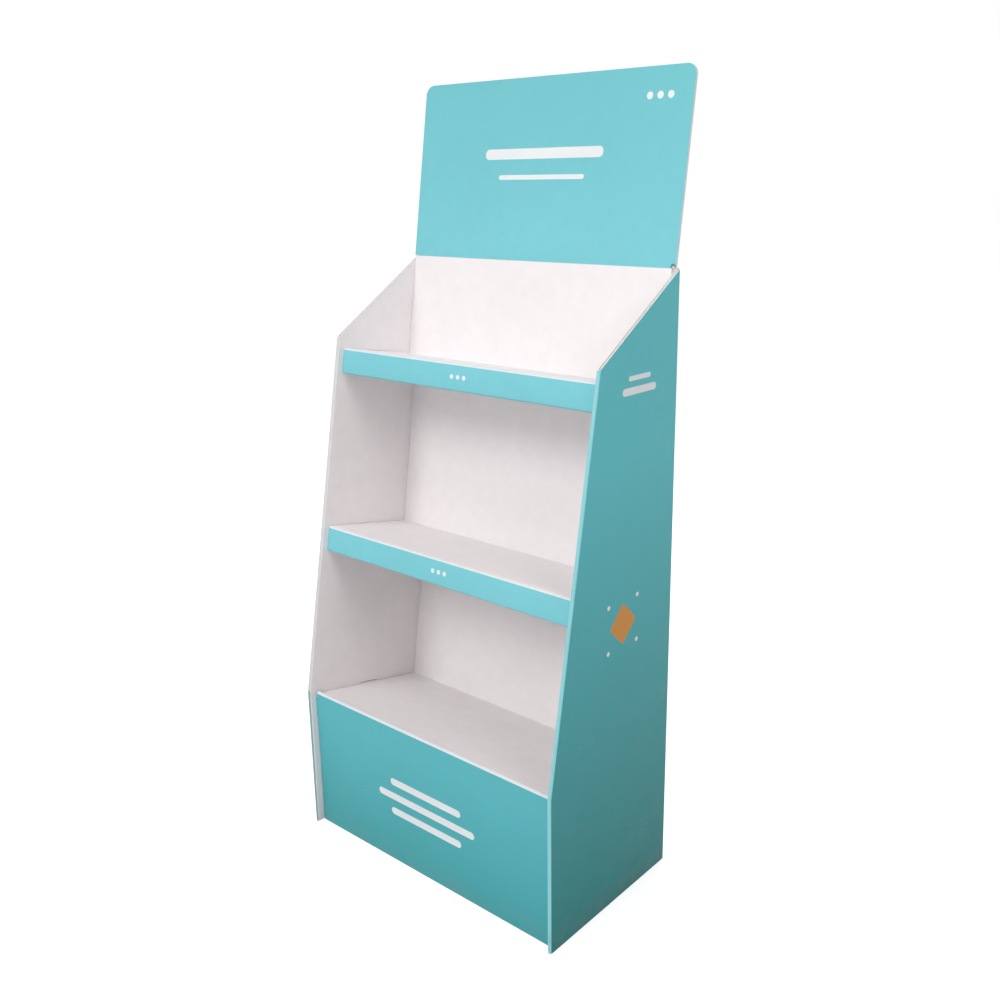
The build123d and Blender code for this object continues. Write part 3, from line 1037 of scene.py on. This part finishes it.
def header():
    """Flat card with round top corners, small relief holes, and a tongue behind the top tray's wall."""
    up = heading(UP - LEAN)
    foot = (HEADER_Y + SEAT_GAP * math.tan(LEAN), SIDE_TOP + SEAT_GAP)
    foot_place = at(0, *foot)

    def rise(corner):
        """How far a corner is up the card from the tongue, in metres."""
        return (corner - foot_place).dot(up)

    def at_top(corner):
        return rise(corner) > metres(HEADER_RISE / 2)

    def on_tongue_line(corner):
        return near(rise(corner), 0) and abs(millimetres(corner.x)) < TRAY_X + SAME_PLACE

    def at_tongue_end(corner):
        return rise(corner) < metres(-TONGUE / 2)

    piece = blank("header_card_sheet", foot, along(foot, HEADER_RISE, UP - LEAN), HALF_WIDTH - HEADER_INSET)
    clip_corners(piece, at_top, HEADER_CORNER, HEADER_CORNER_STEPS)
    for hand in (-1, 1):
        pick_faces(piece, lambda middle: True)
        bpy.ops.mesh.bisect(plane_co=at(hand * TRAY_X, 0, 0), plane_no=TO_RIGHT)
    pick_edges(piece, on_tongue_line)
    pull(up * metres(-TONGUE))
    clip_corners(piece, at_tongue_end, TONGUE_TAPER)
    for hand in (-1, 1):
        hole = at(hand * TRAY_X, *foot)
        sides = []
        for index in range(RELIEF_SIDES):
            turn = 2 * math.pi * index / RELIEF_SIDES
            outward = TO_RIGHT * math.cos(turn) + up * math.sin(turn)
            sides.append((hole + outward * metres(RELIEF_RADIUS), outward))
        cut_out(piece, lambda middle: hand * middle.x > 0, sides)
    turn_show_face(piece, foot_place + up * metres(HEADER_RISE / 2), heading(FORWARD - LEAN))
    return make_board(piece, one_finish, (header_print,), white_across, white_edge, HEADER_BOARD)


header_card = header()
settle(header_card, "header_card")

# Back panel
BACK_INSET = 4.0


def back():
    """Flat sheet glued inside the rear flanges of the sides."""
    rear_y = SIDE_DEPTH - BOARD - SEAT_GAP
    piece = blank("back_panel_sheet", (rear_y, SIDE_TOP), (rear_y, 0.0), HALF_WIDTH - BACK_INSET)
    turn_show_face(piece, at(0, rear_y, SIDE_TOP / 2), TO_REAR)
    return make_board(piece, one_finish, (white_across,), white_across, white_edge)


back_panel = back()
settle(back_panel, "back_panel")

# The partitions keep their CAD mesh
for node, material in (
    ("base_long_partition", brown_across),
    ("base_cross_partition_left", brown_along),
    ("base_cross_partition_right", brown_along),
):
    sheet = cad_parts[node]
    sheet.data.materials.clear()
    sheet.data.materials.append(material)

# Floor, backdrop, lamps and camera
WHITE = (1.0, 1.0, 1.0)
AMBIENT = (1.0, 0.965, 0.97)
AMBIENT_STRENGTH = 0.50
FLOOR_GREY = (0.60, 0.60, 0.60)
FLOOR_ROUGHNESS = 0.9
FLOOR_GLOW = 0.66
FLOOR_SIZE = 60
FLOOR_DROP = 0.0005


def seen_rays(tree):
    """1 for the rays that see the background: the camera's, and those of reflections and clear things."""
    rays = tree.nodes.new("ShaderNodeLightPath")
    seen = maths(tree, "MAXIMUM", rays.outputs["Is Camera Ray"], rays.outputs["Is Glossy Ray"])
    return maths(tree, "MAXIMUM", seen, rays.outputs["Is Transmission Ray"])


def backdrop():
    """A white background for the rays that see it, and a softer light from it for the stand."""
    world = bpy.data.worlds.new("studio")
    bpy.context.scene.world = world
    world.use_nodes = True
    tree = world.node_tree
    soft = tree.nodes["Background"]
    white = tree.nodes.new("ShaderNodeBackground")
    for node, colour, strength in ((soft, AMBIENT, AMBIENT_STRENGTH), (white, WHITE, 1.0)):
        feed(node.inputs["Color"], colour)
        feed(node.inputs["Strength"], strength)
    blend = tree.nodes.new("ShaderNodeMixShader")
    for socket, source in zip(blend.inputs, (seen_rays(tree), soft.outputs[0], white.outputs[0])):
        feed(socket, source)
    feed(tree.nodes["World Output"].inputs["Surface"], blend.outputs[0])


def pale_floor():
    """A floor that looks white and keeps the stand's soft shadow."""
    bpy.ops.mesh.primitive_plane_add(size=FLOOR_SIZE, location=(0, 0, -FLOOR_DROP))
    floor = bpy.context.active_object
    floor.name = "floor"
    material, tree, shader = new_material("pale_floor")
    feed(shader["Base Color"], FLOOR_GREY)
    feed(shader["Roughness"], FLOOR_ROUGHNESS)
    feed(shader["Emission Color"], WHITE)
    feed(shader["Emission Strength"], maths(tree, "MULTIPLY", seen_rays(tree), FLOOR_GLOW))
    floor.data.materials.append(material)


def lamp(name, place, target, size, power):
    """A round area lamp that looks at a target."""
    data = bpy.data.lights.new(name, "AREA")
    data.shape = "DISK"
    data.size = size
    data.energy = power
    light = bpy.data.objects.new(name, data)
    bpy.context.scene.collection.objects.link(light)
    light.location = place
    light.rotation_euler = (Vector(target) - Vector(place)).to_track_quat("-Z", "Y").to_euler()


def photo_camera(place, tilt, roll, turn):
    """The camera of the photo, with its angles in degrees."""
    data = bpy.data.cameras.new("camera")
    data.sensor_width = 36.0
    data.lens = 38.009
    data.shift_x = -0.03042
    data.shift_y = -0.0264
    camera = bpy.data.objects.new("camera", data)
    bpy.context.scene.collection.objects.link(camera)
    camera.location = place
    camera.rotation_euler = [math.radians(angle) for angle in (tilt, roll, turn)]
    bpy.context.scene.camera = camera


backdrop()
pale_floor()
lamp("key", place=(-0.8, -5.6, 5.2), target=(0, 0, 0.8), size=3.0, power=177)
lamp("front_fill", place=(-0.6, -3.2, 1.2), target=(0, 0, 0.6), size=1.6, power=9.5)
lamp("rear_fill", place=(-1.2, 2.8, 2.2), target=(0, 0, 0.6), size=1.8, power=40)
lamp("top_fill", place=(0.2, -2.2, 5.6), target=(0, -0.05, 0.6), size=2.0, power=28)
lamp("side_fill", place=(1.9, -0.6, 2.0), target=(0.3, 0, 0.9), size=0.9, power=10)
photo_camera(place=(1.21856, -1.32029, 1.21517), tilt=74.6982, roll=0.4210, turn=39.9986)
bpy.context.scene.view_settings.view_transform = "Standard"
